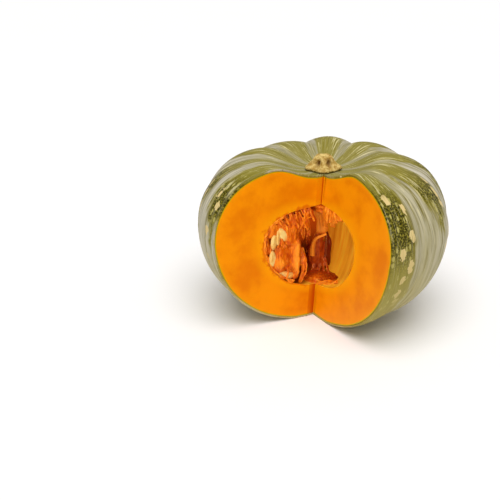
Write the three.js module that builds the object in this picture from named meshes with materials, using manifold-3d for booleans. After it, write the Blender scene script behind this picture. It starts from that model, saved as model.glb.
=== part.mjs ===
// A round ribbed pumpkin with a wedge cut out of its front, standing on its base.
// Units are millimetres, +Z is up and the wedge opens towards -Y.
// The origin is on the stem's axis, at the surface that the pumpkin stands on.
import * as THREE from "three";
import { mergeVertices } from "three/addons/utils/BufferGeometryUtils.js";
import Module from "manifold-3d";

const wasm = await Module();
wasm.setup();

// Driving dimensions of the body
const BODY_RADIUS = 118.8; // at the widest, halfway between rib crest and groove
const WIDEST_HEIGHT = 95; // height of the widest ring
const CROWN_RISE = 63.5; // from the widest ring to the top of the shoulders
const BASE_DROP = 97.8; // from the widest ring to the round base, before it is flattened by standing
const CROWN_ROUNDNESS = 0.53; // exponents of the cosine that draws the side: smaller is squarer
const BASE_ROUNDNESS = 0.88;
const DIMPLE_DEPTH = 13.2; // the hollow of the crown that the stem grows from
const SEAT_RADIUS = 17; // its flat middle
const DIMPLE_RADIUS = 66;
const RIND_THICKNESS = 1.8;
const FIT_GAP = 0.3; // between neighbouring pieces
const WELD = 1e-4; // vertices closer than this are one

// Ribs
const FIRST_GROOVE = THREE.MathUtils.degToRad(-27); // azimuth, from +X towards +Y
const RIB_DEPTH = 6; // from groove to crest on the shoulders
const RIB_SHARPNESS = 0.7; // below 1 narrows the grooves
const RIB_MIDDLE = 0.65; // share of the depth that lies below the mean surface
const RIB_SIZES = [1.05, 1, 1, 1.1, 0.55, 0.7, 0.6, 1, 1, 0.9]; // share of the depth, rib by rib
const RIB_COUNT = RIB_SIZES.length;
const CROWN_RIB_RISE = [1.4 * SEAT_RADIUS, 3.6 * SEAT_RADIUS]; // radii where the ribs begin on the crown
const BASE_RIB_RISE = [0.3 * BODY_RADIUS, 0.75 * BODY_RADIUS]; // and on the base
const BASE_RIB_SHARE = 0.75; // share of the depth that is left below the widest ring
const SKIN_COLUMNS = 6 * RIB_COUNT;
const SKIN_ROWS = 22;

// The wedge that was cut out
const WEDGE_ANGLE = THREE.MathUtils.degToRad(98);
const WEDGE_CORNER = new THREE.Vector2(1.7, -18); // where the two cuts meet, just in front of the stem
const WEDGE_LEAN = 0.045; // sideways lean of the cuts towards the top, per unit of height
const CORNER_STRIP = 5; // width that the left cut stops short by
const CORNER_RECESS = new THREE.Vector2(0.4, 2.2); // how far behind that the right cut ended
const CUT_REACH = 220;

// The hollow for the seeds
const HOLLOW_RADIUS = 68.5;
const HOLLOW_MIDDLE = 86; // height of its widest ring
const HOLLOW_RISE = 30;
const HOLLOW_DROP = 53;
const HOLLOW_ROOF_ROUNDNESS = 0.6;
const HOLLOW_FLOOR_ROUNDNESS = 0.8;
const HOLLOW_COLUMNS = 30;
const HOLLOW_ROWS = 12;

// The stem
const STEM_HEIGHT = 13;
const STEM_FOOT_RADIUS = 17;
const STEM_TOP_RADIUS = 8.5;
const STEM_RIDGES = 5;
const STEM_TURN = THREE.MathUtils.degToRad(-73); // azimuth of one ridge
const STEM_COLUMNS = 30;

// Seeds and the fibres of the pulp
const SEED_LENGTH = 16.5;
const SEED_WIDTH = 8.8;
const SEED_THICKNESS = 3.2;
const SEED_SIDES = 8;
const SEED_RINGS = 6;
const CLOT_SIDES = 10;
const CLOT_RINGS = 6;
const FIBRE_RADIUS = 1.7;
const FIBRE_SIDES = 4;
const FIBRE_STEPS = 5;
const PULP_PROUD = 2.5; // how far loose fibre may stand out of the cuts

const COLOURS = {
  rind: { color: 0x7f7a45, roughness: 0.5, metalness: 0 },
  flesh: { color: 0xee8a0a, roughness: 0.45, metalness: 0 },
  stem: { color: 0xd2b272, roughness: 0.85, metalness: 0 },
  pulp: { color: 0xc85f12, roughness: 0.4, metalness: 0 },
  seed: { color: 0xe6c684, roughness: 0.5, metalness: 0 },
};

// A repeatable random number from 0 to 1 for each whole number
function draw(n) {
  const wave = Math.sin(n * 12.9898) * 43758.5453;
  return wave - Math.floor(wave);
}

// Helpers between three.js geometry and solids
function solidOf(geometry) {
  const bare = geometry.clone();
  bare.deleteAttribute("normal");
  bare.deleteAttribute("uv");
  const merged = mergeVertices(bare, WELD);
  const corners = merged.index.array;
  const triangles = [];
  for (let i = 0; i < corners.length; i += 3) {
    const [a, b, c] = corners.slice(i, i + 3);
    if (a !== b && b !== c && c !== a) triangles.push(a, b, c);
  }
  const mesh = new wasm.Mesh({
    numProp: 3,
    vertProperties: new Float32Array(merged.attributes.position.array),
    triVerts: new Uint32Array(triangles),
  });
  return new wasm.Manifold(mesh);
}

function geometryOf(solid) {
  const mesh = solid.getMesh();
  const geometry = new THREE.BufferGeometry();
  geometry.setAttribute("position", new THREE.BufferAttribute(mesh.vertProperties, 3));
  geometry.setIndex(new THREE.BufferAttribute(mesh.triVerts, 1));
  return geometry;
}

// Keeps the connected body with the most triangles and drops loose crumbs
function mainBody(geometry) {
  const corners = geometry.index.array;
  const parent = Array.from({ length: geometry.attributes.position.count }, (_, i) => i);
  const rootOf = (i) => {
    while (parent[i] !== i) {
      parent[i] = parent[parent[i]];
      i = parent[i];
    }
    return i;
  };
  for (let i = 0; i < corners.length; i += 3) {
    parent[rootOf(corners[i + 1])] = rootOf(corners[i]);
    parent[rootOf(corners[i + 2])] = rootOf(corners[i]);
  }
  const bodies = new Map();
  for (let i = 0; i < corners.length; i += 3) {
    const root = rootOf(corners[i]);
    if (!bodies.has(root)) bodies.set(root, []);
    bodies.get(root).push(...corners.slice(i, i + 3));
  }
  const largest = [...bodies.values()].reduce((best, body) => (body.length > best.length ? body : best));
  geometry.setIndex(largest);
  return mergeVertices(geometry.toNonIndexed(), 1e-5);
}

function joined(solids) {
  return solids.reduce((sum, solid) => sum.add(solid));
}

// Moves every vertex of a geometry by a function of its place
function reshape(geometry, move) {
  const places = geometry.attributes.position;
  const place = new THREE.Vector3();
  for (let i = 0; i < places.count; i++) {
    place.fromBufferAttribute(places, i);
    move(place, i);
    places.setXYZ(i, place.x, place.y, place.z);
  }
  return geometry;
}

// A round body turned about the stem's axis, from an outline of radius and height that starts and ends on it
function turned(outline, rows, columns, firstAzimuth) {
  const spaced = new THREE.SplineCurve(outline).getSpacedPoints(rows);
  spaced[0].x = 0;
  spaced[rows].x = 0;
  const geometry = new THREE.LatheGeometry(spaced, columns, firstAzimuth + Math.PI / 2);
  return geometry.rotateX(Math.PI / 2);
}

function egg(radius, middle, rise, drop, topRoundness, baseRoundness, lower) {
  const points = [];
  const count = 240;
  for (let i = 0; i <= count; i++) {
    const turn = (i / count - 0.5) * Math.PI;
    const roundness = turn > 0 ? topRoundness : baseRoundness;
    const r = radius * Math.max(Math.cos(turn), 0) ** roundness;
    const z = middle + (turn > 0 ? rise : drop) * Math.sin(turn);
    points.push(new THREE.Vector2(r, turn > 0 ? z - lower(r) : z));
  }
  return points;
}

// The body's skin: a turned outline with a dimpled crown, raised into ribs along its normals
function dimple(r) {
  const along = THREE.MathUtils.clamp((r - SEAT_RADIUS) / (DIMPLE_RADIUS - SEAT_RADIUS), 0, 1);
  return DIMPLE_DEPTH * (0.5 + 0.5 * Math.cos(Math.PI * along));
}

function ribLift(azimuth) {
  const turns = ((azimuth - FIRST_GROOVE) / (2 * Math.PI)) * RIB_COUNT + RIB_COUNT;
  const rib = Math.floor(turns + 1e-6);
  const across = Math.abs(Math.sin(Math.PI * turns)) ** RIB_SHARPNESS;
  return across * RIB_SIZES[rib % RIB_COUNT] - RIB_MIDDLE;
}

function ribFade(place) {
  const r = Math.hypot(place.x, place.y);
  if (place.z > WIDEST_HEIGHT) return THREE.MathUtils.smoothstep(r, ...CROWN_RIB_RISE);
  return BASE_RIB_SHARE * THREE.MathUtils.smoothstep(r, ...BASE_RIB_RISE);
}

function skin(inset) {
  const outline = egg(
    BODY_RADIUS, WIDEST_HEIGHT, CROWN_RISE, BASE_DROP, CROWN_ROUNDNESS, BASE_ROUNDNESS, dimple);
  outline.forEach((point) => (point.y = Math.max(point.y, 0)));
  const geometry = turned(outline, SKIN_ROWS, SKIN_COLUMNS, FIRST_GROOVE);
  const outward = geometry.attributes.normal;
  const normal = new THREE.Vector3();
  reshape(geometry, (place, i) => {
    normal.fromBufferAttribute(outward, i);
    const lift = RIB_DEPTH * ribFade(place) * ribLift(Math.atan2(place.y, place.x));
    place.addScaledVector(normal, lift);
    place.z = Math.max(place.z, 0);
  });
  return inset ? insetCopy(geometry, inset) : geometry;
}

function insetCopy(geometry, inset) {
  const bare = geometry.clone();
  bare.deleteAttribute("normal");
  bare.deleteAttribute("uv");
  const merged = mergeVertices(bare, WELD);
  merged.computeVertexNormals();
  const outward = merged.attributes.normal;
  const normal = new THREE.Vector3();
  return reshape(merged, (place, i) => {
    place.addScaledVector(normal.fromBufferAttribute(outward, i), -inset);
  });
}

// The cut: two nearly upright planes that meet before the stem, with a narrow strip where one stroke stopped
const LEFT_WAY = new THREE.Vector2(-Math.sin(WEDGE_ANGLE / 2), -Math.cos(WEDGE_ANGLE / 2));
const RIGHT_WAY = new THREE.Vector2(-LEFT_WAY.x, LEFT_WAY.y);

function leanAt(height) {
  return WEDGE_LEAN * (height - HOLLOW_MIDDLE);
}

function wedge(proud) {
  const corner = WEDGE_CORNER.clone().add(new THREE.Vector2(0, -proud));
  const stripStart = corner.clone().addScaledVector(LEFT_WAY, CORNER_STRIP);
  const leftEnd = corner.clone().addScaledVector(LEFT_WAY, CUT_REACH);
  const rightEnd = corner.clone().addScaledVector(RIGHT_WAY, CUT_REACH);
  const recess = corner.clone().add(CORNER_RECESS);
  const plan = new THREE.Shape([recess, stripStart, leftEnd, rightEnd]);
  const geometry = new THREE.ExtrudeGeometry(plan, { depth: CUT_REACH, bevelEnabled: false });
  geometry.translate(0, 0, -CUT_REACH / 10);
  return solidOf(reshape(geometry, (place) => (place.x += leanAt(place.z))));
}

function hollow(inset) {
  const none = () => 0;
  const outline = egg(
    HOLLOW_RADIUS - inset, HOLLOW_MIDDLE, HOLLOW_RISE - inset, HOLLOW_DROP - inset,
    HOLLOW_ROOF_ROUNDNESS, HOLLOW_FLOOR_ROUNDNESS, none);
  return solidOf(turned(outline, HOLLOW_ROWS, HOLLOW_COLUMNS, FIRST_GROOVE));
}

function makeRind(cut) {
  return solidOf(skin(0)).subtract(solidOf(skin(RIND_THICKNESS))).subtract(cut);
}

function makeFlesh(cut) {
  return solidOf(skin(RIND_THICKNESS + FIT_GAP)).subtract(hollow(0)).subtract(cut);
}

// The stem: a short corky stalk with five ridges that spread into a lobed foot, and hollows between them
function makeStem() {
  const outline = [
    new THREE.Vector2(0, 0),
    new THREE.Vector2(0.94 * STEM_FOOT_RADIUS, 0),
    new THREE.Vector2(STEM_FOOT_RADIUS, 0.14 * STEM_HEIGHT),
    new THREE.Vector2(0.93 * STEM_FOOT_RADIUS, 0.3 * STEM_HEIGHT),
    new THREE.Vector2(1.45 * STEM_TOP_RADIUS, 0.52 * STEM_HEIGHT),
    new THREE.Vector2(1.1 * STEM_TOP_RADIUS, 0.78 * STEM_HEIGHT),
    new THREE.Vector2(0.92 * STEM_TOP_RADIUS, 0.96 * STEM_HEIGHT),
    new THREE.Vector2(0.5 * STEM_TOP_RADIUS, STEM_HEIGHT),
    new THREE.Vector2(0, 0.9 * STEM_HEIGHT),
  ];
  const geometry = new THREE.LatheGeometry(outline, STEM_COLUMNS, STEM_TURN + Math.PI / 2);
  geometry.rotateX(Math.PI / 2);
  reshape(geometry, (place) => {
    const azimuth = Math.atan2(place.y, place.x) - STEM_TURN;
    const share = place.z / STEM_HEIGHT;
    const depth = 0.05 + 0.2 * Math.exp(-(((share - 0.5) / 0.25) ** 2));
    const ridge = 1 + depth * (Math.cos(STEM_RIDGES * azimuth) - 0.3);
    place.x *= ridge;
    place.y *= ridge;
  });
  const seat = WIDEST_HEIGHT + CROWN_RISE - DIMPLE_DEPTH;
  return solidOf(geometry.translate(0, 0, seat + FIT_GAP));
}

// Places in the seed hollow. Each cut's own frame: along it from the corner, up, and back into the fruit
function leftCut(along, height, back) {
  const x = WEDGE_CORNER.x + leanAt(height) + along * LEFT_WAY.x + back * LEFT_WAY.y;
  const y = WEDGE_CORNER.y + along * LEFT_WAY.y - back * LEFT_WAY.x;
  return new THREE.Vector3(x, y, height);
}

function rightCut(along, height, back) {
  const x = WEDGE_CORNER.x + leanAt(height) + along * RIGHT_WAY.x - back * RIGHT_WAY.y;
  const y = WEDGE_CORNER.y + along * RIGHT_WAY.y + back * RIGHT_WAY.x;
  return new THREE.Vector3(x, y, height);
}

// A place on the hollow's wall, moved inwards
function onWall(azimuthDegrees, height, inwards) {
  const above = height > HOLLOW_MIDDLE;
  const share = (height - HOLLOW_MIDDLE) / (above ? HOLLOW_RISE : HOLLOW_DROP);
  const roundness = above ? HOLLOW_ROOF_ROUNDNESS : HOLLOW_FLOOR_ROUNDNESS;
  const r = HOLLOW_RADIUS * Math.sqrt(Math.max(1 - share * share, 0)) ** roundness - inwards;
  const azimuth = THREE.MathUtils.degToRad(azimuthDegrees);
  return new THREE.Vector3(r * Math.cos(azimuth), r * Math.sin(azimuth), height);
}

// One fibre of the pulp: a slim tube through a few places
function fibre(places, radius = FIBRE_RADIUS) {
  const section = new THREE.Shape();
  for (let i = 0; i < FIBRE_SIDES; i++) {
    const turn = (2 * Math.PI * i) / FIBRE_SIDES;
    const at = [radius * Math.cos(turn), radius * Math.sin(turn)];
    if (i) section.lineTo(...at);
    else section.moveTo(...at);
  }
  const path = new THREE.CatmullRomCurve3(places);
  const geometry = new THREE.ExtrudeGeometry(section, { steps: FIBRE_STEPS, extrudePath: path });
  return solidOf(geometry);
}

// A soft clot of pulp: an ellipsoid that faces the left cut, or another way, with a rippled surface
function clot(centre, sizes, facing, key) {
  const geometry = new THREE.SphereGeometry(1, CLOT_SIDES, CLOT_RINGS);
  reshape(geometry, (place) => {
    const ripple = 1 + 0.09 * Math.sin(5 * place.x + key) + 0.07 * Math.sin(7 * place.y + 2 * key);
    place.multiplyScalar(ripple);
  });
  geometry.rotateX(Math.PI / 2);
  geometry.scale(...sizes).rotateZ(facing).translate(centre.x, centre.y, centre.z);
  return solidOf(geometry);
}

// A flat seed with a pointed end, upright and facing along its own y before it is turned
function seed({ at, lean = 0, facing = 0, nod = 0 }, swell = 0) {
  const geometry = new THREE.SphereGeometry(1, SEED_SIDES, SEED_RINGS).rotateX(Math.PI / 2);
  reshape(geometry, (place) => {
    const point = Math.max(place.z, 0);
    place.x *= (SEED_WIDTH / 2 + swell) * (1 - 0.4 * point * point);
    place.y *= SEED_THICKNESS / 2 + swell;
    place.z *= SEED_LENGTH / 2 + swell;
  });
  geometry.rotateY(lean).rotateX(nod).rotateZ(facing).translate(at.x, at.y, at.z);
  return solidOf(geometry);
}

const LEFT_FACING = Math.atan2(LEFT_WAY.y, LEFT_WAY.x);
const RIGHT_FACING = Math.atan2(RIGHT_WAY.y, RIGHT_WAY.x);

// Groups of seeds that touch each other
const SEEDS = {
  seeds_left_upper: [
    { at: leftCut(45, 85.5, 1.5), lean: -0.12, facing: LEFT_FACING + 0.5 },
    { at: leftCut(40.4, 88.5, 2.5), lean: 0.08, facing: LEFT_FACING + 0.9 },
    { at: leftCut(36, 91, 2), lean: 0.55, facing: LEFT_FACING + 0.2 },
  ],
  seeds_left_lower: [
    { at: leftCut(45.6, 68, 1.5), lean: 0.05, facing: LEFT_FACING + 0.4 },
    { at: leftCut(42.6, 63, 5), lean: 0.4, facing: LEFT_FACING + 0.6 },
  ],
  seeds_floor: [0, 1, 2].map((i) => ({
    at: leftCut(31 - 4.6 * i, 48 - 2.4 * i, 4 + i),
    lean: 1.1 + 0.2 * draw(i),
    nod: -0.6,
    facing: LEFT_FACING + 0.2 * i,
  })),
  seeds_back: [0, 1, 2, 3].map((i) => ({
    at: onWall(128 + 4 * i, 78 + 3 * draw(i + 20), 13),
    lean: 0.4 * (draw(i + 5) - 0.5),
    facing: THREE.MathUtils.degToRad(128 + 4 * i + 60),
  })),
  seeds_right: [0, 1, 2, 3].map((i) => ({
    at: onWall(-20 + 4 * i, 84 + 3 * draw(i + 40), 13),
    lean: 0.4 * (draw(i + 9) - 0.5),
    facing: THREE.MathUtils.degToRad(-20 + 4 * i + 60),
  })),
};

// Pulp at the left cut: clots behind the cut, with fibres that hang from the roof or run to the floor
function leftPulp() {
  const clots = [
    clot(leftCut(36, 63, 10), [17, 10, 18], LEFT_FACING, 1),
    clot(leftCut(20, 65, 8), [7, 8, 23], LEFT_FACING, 2),
    clot(leftCut(31, 91, 12), [20, 11, 17], LEFT_FACING, 3),
    clot(leftCut(22, 105, 10), [14, 9, 12], LEFT_FACING, 4),
    clot(leftCut(30, 46, 10), [18, 10, 10], LEFT_FACING, 5),
    clot(leftCut(45, 98, 7), [10, 7, 11], LEFT_FACING, 6),
    clot(leftCut(50, 78, 9), [7, 6, 17], LEFT_FACING, 7),
  ];
  const hanging = [0, 1, 2, 3, 4, 5].map((i) => {
    const along = 13 + 6 * i;
    return fibre([
      leftCut(along + 6, 116 - 0.16 * i * i, 5),
      leftCut(along + 1, 105 - i, 1 + 3 * draw(i)),
      leftCut(along - 4, 92 + 5 * draw(i + 3), 4),
      leftCut(along - 6, 82, 9),
    ]);
  });
  const standing = [0, 1, 2, 3].map((i) => {
    const along = 12 + 8 * i;
    return fibre([
      leftCut(along + 2, 72 - 4 * i, 9),
      leftCut(along - 1, 58 - 2 * i, 1 + 3 * draw(i + 7)),
      leftCut(along + 1, 44 + i, 2),
      leftCut(along + 3, 30 + 1.5 * i, 8),
    ]);
  });
  return joined([...clots, ...hanging, ...standing]);
}

// Pulp along a stretch of wall: clots with upright fibres bowed over them
function wallPulp(fromAzimuth, toAzimuth, key) {
  const middle = (fromAzimuth + toAzimuth) / 2;
  const spread = toAzimuth - fromAzimuth;
  const clots = [0, 1, 2].map((i) => {
    const azimuth = middle + spread * (0.22 * (i % 2) - 0.11);
    const centre = onWall(azimuth, 60 + 18 * i, 8);
    const width = (0.3 * spread * HOLLOW_RADIUS * Math.PI) / 180;
    return clot(centre, [8, width, 14], THREE.MathUtils.degToRad(azimuth), key + i);
  });
  const bows = [0, 1, 2, 3, 4].map((i) => {
    const azimuth = fromAzimuth + (spread * (i + 0.5)) / 5;
    const drift = 8 * (draw(key + i) - 0.5);
    return fibre([
      onWall(azimuth, 110, 1),
      onWall(azimuth + drift, 94, 8 + 5 * draw(key + i + 11)),
      onWall(azimuth - drift, 64, 10 + 5 * draw(key + i + 17)),
      onWall(azimuth, 42, 1),
    ]);
  });
  return joined([...clots, ...bows]);
}

// The torn sheet of pulp in the middle of the hollow, hung from the roof and rooted in the floor
function curtainPulp() {
  const facing = STEM_TURN + Math.PI / 2;
  const sheets = [
    clot(new THREE.Vector3(-4, 6, 55), [8, 3, 25], facing, 7),
    clot(new THREE.Vector3(0, 6, 93), [6, 2.4, 20], facing, 6),
    clot(new THREE.Vector3(0, -2, 35), [18, 13, 5], facing, 8),
    clot(new THREE.Vector3(7, 0, 111), [22, 15, 7], facing, 9),
    clot(rightCut(9, 110, 4), [10, 5, 8], RIGHT_FACING, 10),
    clot(rightCut(22, 109, 4), [9, 5, 5], RIGHT_FACING, 11),
  ];
  const hanging = [0, 1, 2, 3, 4].map((i) => {
    const x = -8 + 6 * i;
    const y = 9 * draw(i + 30) - 5;
    const low = 96 - 12 * draw(i + 35);
    return fibre([
      new THREE.Vector3(x + 3, y, 113),
      new THREE.Vector3(x + 1, y - 1, 104),
      new THREE.Vector3(0.8 * x, y + 2, low + 5),
      new THREE.Vector3(0.5 * x + 1, 6, low),
    ]);
  });
  const roots = [0, 1, 2, 3].map((i) => {
    const x = -10 + 7 * i;
    return fibre([
      new THREE.Vector3(0.35 * x - 1, 7, 54),
      new THREE.Vector3(0.6 * x, 4, 42),
      new THREE.Vector3(x, 4 * draw(i + 60) - 2, 36),
      new THREE.Vector3(1.3 * x, 1, 33),
    ]);
  });
  const lip = fibre([rightCut(2, 36, 3), rightCut(12, 40, 3), rightCut(21, 43, 3), rightCut(30, 48, 3)]);
  return joined([...sheets, ...hanging, ...roots, lip]);
}

// Assembly
const cut = wedge(0);
const room = hollow(FIT_GAP).subtract(wedge(PULP_PROUD));
const pockets = joined(Object.values(SEEDS).flat().map((one) => seed(one, FIT_GAP)));
const inRoom = (solid) => solid.intersect(room).subtract(pockets);

const PIECES = {
  rind: ["rind", makeRind(cut)],
  flesh: ["flesh", makeFlesh(cut)],
  stem: ["stem", makeStem()],
  pulp_left: ["pulp", inRoom(leftPulp())],
  pulp_back: ["pulp", inRoom(wallPulp(112, 176, 100))],
  pulp_right: ["pulp", inRoom(wallPulp(-46, 26, 200))],
  pulp_curtain: ["pulp", inRoom(curtainPulp())],
};
for (const [name, group] of Object.entries(SEEDS)) {
  PIECES[name] = ["seed", joined(group.map((one) => seed(one)))];
}

const pumpkin = new THREE.Group();
for (const [name, [finish, solid]] of Object.entries(PIECES)) {
  const geometry = mainBody(geometryOf(solid));
  const mesh = new THREE.Mesh(geometry, new THREE.MeshStandardMaterial(COLOURS[finish]));
  mesh.name = name;
  pumpkin.add(mesh);
}

export default pumpkin;
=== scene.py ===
# A ribbed pumpkin with a wedge cut out of its front, standing on a pale floor.
import math

import bmesh
import bpy
from mathutils import Matrix, Vector, geometry, noise
from mathutils.bvhtree import BVHTree


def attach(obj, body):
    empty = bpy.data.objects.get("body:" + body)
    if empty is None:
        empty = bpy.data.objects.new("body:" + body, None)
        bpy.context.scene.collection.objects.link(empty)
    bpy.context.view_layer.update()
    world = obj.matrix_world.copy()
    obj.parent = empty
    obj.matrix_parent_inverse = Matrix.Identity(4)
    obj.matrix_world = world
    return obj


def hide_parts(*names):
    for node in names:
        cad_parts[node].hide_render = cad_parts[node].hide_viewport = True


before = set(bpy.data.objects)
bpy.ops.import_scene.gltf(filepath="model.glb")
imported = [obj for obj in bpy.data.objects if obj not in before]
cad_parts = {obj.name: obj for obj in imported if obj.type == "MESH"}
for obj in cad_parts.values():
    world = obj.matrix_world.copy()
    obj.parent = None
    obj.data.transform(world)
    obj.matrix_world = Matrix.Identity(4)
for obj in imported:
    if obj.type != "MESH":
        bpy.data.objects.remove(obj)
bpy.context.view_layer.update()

# The rind: the hard, waxy skin of the fruit, grown in ten ribs that run from the stem to the base.
# It is silver-grey along the grooves and mottled dark green with cream flecks on the crests.
# A wedge was cut out of it with two strokes of a knife that met in front of the stem.
MM = 0.001
body_radius = 118.8 * MM
widest_height = 95 * MM
crown_rise = 63.5 * MM
base_drop = 97.8 * MM
crown_roundness = 0.53
base_roundness = 0.88
dimple_depth = 13.2 * MM
dimple_radius = 66 * MM
seat_radius = 17 * MM
rind_thickness = 1.8 * MM
rib_sizes = [1.05, 1, 1, 1.1, 0.55, 0.7, 0.6, 1, 1, 0.9]
rib_count = len(rib_sizes)
rib_angle = math.tau / rib_count
first_groove = math.radians(-27)
rib_depth = 6 * MM
rib_sharpness = 0.7
rib_middle = 0.65
base_rib_share = 0.75
swell_height = 0.9 * MM
swell_scale = 28
outline_steps = 400
skin_rows = 110
skin_steps = 360
weld = 0.001 * MM

wedge_half = math.radians(49)
wedge_lean = 0.045
wedge_corner = Vector((1.7, -18, 86)) * MM
crease_offset = 5 * MM
recess_offset = Vector((0.4, 2.2, 0)) * MM
cut_length = 220 * MM
lean_way = Vector((wedge_lean, 0, 1))
left_way = Vector((-math.sin(wedge_half), -math.cos(wedge_half), 0))
crease = wedge_corner + left_way * crease_offset
recess = wedge_corner + recess_offset
right_end = wedge_corner + Vector((-left_way.x, left_way.y, 0)) * cut_length
right_way = (right_end - recess).normalized()
strip_way = (crease - recess).normalized()
left_out = lean_way.cross(left_way).normalized()
right_out = right_way.cross(lean_way).normalized()
strip_out = lean_way.cross(strip_way).normalized()

# How far the green runs down each rib, in mm from the stem, and where across the rib its blotches lie.
# Beside the left cut the painted bands run half a rib ahead of the ribs themselves. The patterns take
# a rib as 75 mm wide, and the blotches follow each other every 13 mm down it.
green_reaches = [128, 205, 180, 220, 185, 210, 200, 140, 170, 250]
blotch_sides = [0.56, 0.56, 0.56, 0.56, 0.56, 0.56, 0.56, 0.2, 0.56, 0.56]
band_shift = 0.5
shift_start = 5.5
shift_full = 7
rib_span = 75.0
chain_step = 13.0

# Where the looks of the skin change, in mm along it: each value is where a soft border begins or ends.
# All count from the stem, apart from green_end, from each rib's reach, and scar_border, from the skin's end.
green_end = (-45.0, 30.0)
dark_green_zone = (72.0, 112.0, 138.0, 178.0)
blotch_zone = (84.0, 100.0, 185.0, 215.0)
crown_border = (100.0, 35.0)
ray_border = (150.0, 90.0)
base_border = (125.0, 215.0)
scar_border = (-7, -4)


def ease(x, low, high):
    share = min(max((x - low) / (high - low), 0), 1)
    return share * share * (3 - 2 * share)


def egg_outline(steps, radius, middle, rise, drop, top_roundness, base_roundness):
    """Points up one side of an egg whose top and base have their own height and roundness."""
    points = []
    for i in range(steps + 1):
        turn = (i / steps - 0.5) * math.pi
        roundness = top_roundness if turn > 0 else base_roundness
        r = radius * max(math.cos(turn), 0) ** roundness
        points.append(Vector((r, 0, middle + (rise if turn > 0 else drop) * math.sin(turn))))
    return points


def spaced(points, count):
    """The same line as points, with count equal steps along it."""
    lengths = [0]
    for a, b in zip(points, points[1:]):
        lengths.append(lengths[-1] + (b - a).length)
    made = []
    at = 0
    for i in range(count + 1):
        goal = lengths[-1] * i / count
        while at < len(points) - 2 and lengths[at + 1] < goal:
            at += 1
        share = (goal - lengths[at]) / max(lengths[at + 1] - lengths[at], 1e-9)
        made.append(points[at].lerp(points[at + 1], min(share, 1)))
    return made


def spun(outline, steps):
    """A round mesh turned about the stem's axis. Its along layer is the distance from the top, in mm."""
    bm = bmesh.new()
    along = bm.verts.layers.float.new("along")
    chain = [bm.verts.new(point) for point in outline]
    for above, below in zip(reversed(chain), list(reversed(chain))[1:]):
        below[along] = above[along] + (above.co - below.co).length / MM
    edges = [bm.edges.new(pair) for pair in zip(chain, chain[1:])]
    bmesh.ops.spin(bm, geom=chain + edges, cent=(0, 0, 0), axis=(0, 0, 1), dvec=(0, 0, 0),
                   angle=math.tau, steps=steps, use_merge=True)
    bmesh.ops.remove_doubles(bm, verts=bm.verts[:], dist=weld)
    bmesh.ops.recalc_face_normals(bm, faces=bm.faces[:])
    bm.normal_update()
    return bm


def with_normals(bm):
    """Each vertex with its normal as it is before any of them moves."""
    return [(vert, vert.normal.copy()) for vert in bm.verts]


def azimuth_of(place):
    """The azimuth, which jumps only in the middle of the cut, where there is no skin."""
    return (math.atan2(place.y, place.x) + math.pi / 2) % math.tau - math.pi / 2


def rib_lift(azimuth):
    rounding = 0.000001
    turns = (azimuth - first_groove) / rib_angle + rib_count
    across = abs(math.sin(math.pi * turns)) ** rib_sharpness
    rib = math.floor(turns + rounding) % rib_count
    return across * rib_sizes[rib] - rib_middle


def rib_fade(place):
    """The ribs die out towards the stem and, further out, towards the base."""
    r = math.hypot(place.x, place.y)
    if place.z > widest_height:
        return ease(r, 1.4 * seat_radius, 3.6 * seat_radius)
    return base_rib_share * ease(r, 0.3 * body_radius, 0.75 * body_radius)


def ribbed_skin(rows, steps):
    points = egg_outline(outline_steps, body_radius, widest_height, crown_rise, base_drop,
                         crown_roundness, base_roundness)
    for point in points:
        if point.z > widest_height:
            out = min(max((point.x - seat_radius) / (dimple_radius - seat_radius), 0), 1)
            point.z -= dimple_depth * (0.5 + 0.5 * math.cos(math.pi * out))
        point.z = max(point.z, 0)
    bm = spun(spaced(points, rows), steps)
    for vert, normal in with_normals(bm):
        fade = rib_fade(vert.co)
        swell = noise.noise(vert.co * swell_scale) * swell_height * fade
        vert.co += normal * (rib_depth * fade * rib_lift(azimuth_of(vert.co)) + swell)
        vert.co.z = max(vert.co.z, 0)
    return bm


def in_wedge(place):
    if (place - recess).dot(right_out) < 0:
        return False
    return (place - crease).dot(left_out) > 0 or (place - recess).dot(strip_out) > 0


def cut_wedge(bm):
    """Cuts the mesh along the two cuts and the narrow strip between them, and takes the wedge out."""
    corner_room = 16 * MM
    snap = 0.0001 * MM
    cuts = [
        (crease, left_out, lambda p: p.x < corner_room and p.y < corner_room),
        (recess, right_out, lambda p: p.x > -corner_room and p.y < corner_room),
        (recess, strip_out, lambda p: (p.xy - wedge_corner.xy).length < corner_room),
    ]
    for place, normal, near in cuts:
        faces = [face for face in bm.faces if near(face.calc_center_median())]
        edges = {edge for face in faces for edge in face.edges}
        verts = {vert for face in faces for vert in face.verts}
        bmesh.ops.bisect_plane(bm, geom=list(verts) + list(edges) + faces, dist=snap,
                               plane_co=place, plane_no=normal)
    out = [face for face in bm.faces if in_wedge(face.calc_center_median())]
    bmesh.ops.delete(bm, geom=out, context="FACES")


def placed(name, data):
    """A new object for the data, in the scene."""
    made = bpy.data.objects.new(name, data)
    bpy.context.scene.collection.objects.link(made)
    return made


def finished_piece(name, bm, node, material):
    """The bmesh as an object that rides on the fruit and stands for its plain solid."""
    mesh = bpy.data.meshes.new(name)
    bm.to_mesh(mesh)
    bm.free()
    mesh.shade_smooth()
    piece = placed(name, mesh)
    mesh.materials.append(material)
    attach(piece, "root")
    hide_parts(node)
    return piece


def new_material(name):
    material = bpy.data.materials.new(name)
    material.use_nodes = True
    return material, material.node_tree


def fill_inputs(tree, node, values):
    """Links each named input to a socket, or sets it to a plain value."""
    for key, value in values.items():
        if isinstance(value, bpy.types.NodeSocket):
            tree.links.new(value, node.inputs[key])
        else:
            node.inputs[key].default_value = value


def finish_shader(tree, values):
    fill_inputs(tree, tree.nodes["Principled BSDF"], values)


def add_node(tree, kind, values=None, **settings):
    made = tree.nodes.new(kind)
    for key, value in settings.items():
        setattr(made, key, value)
    fill_inputs(tree, made, values or {})
    return made


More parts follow.
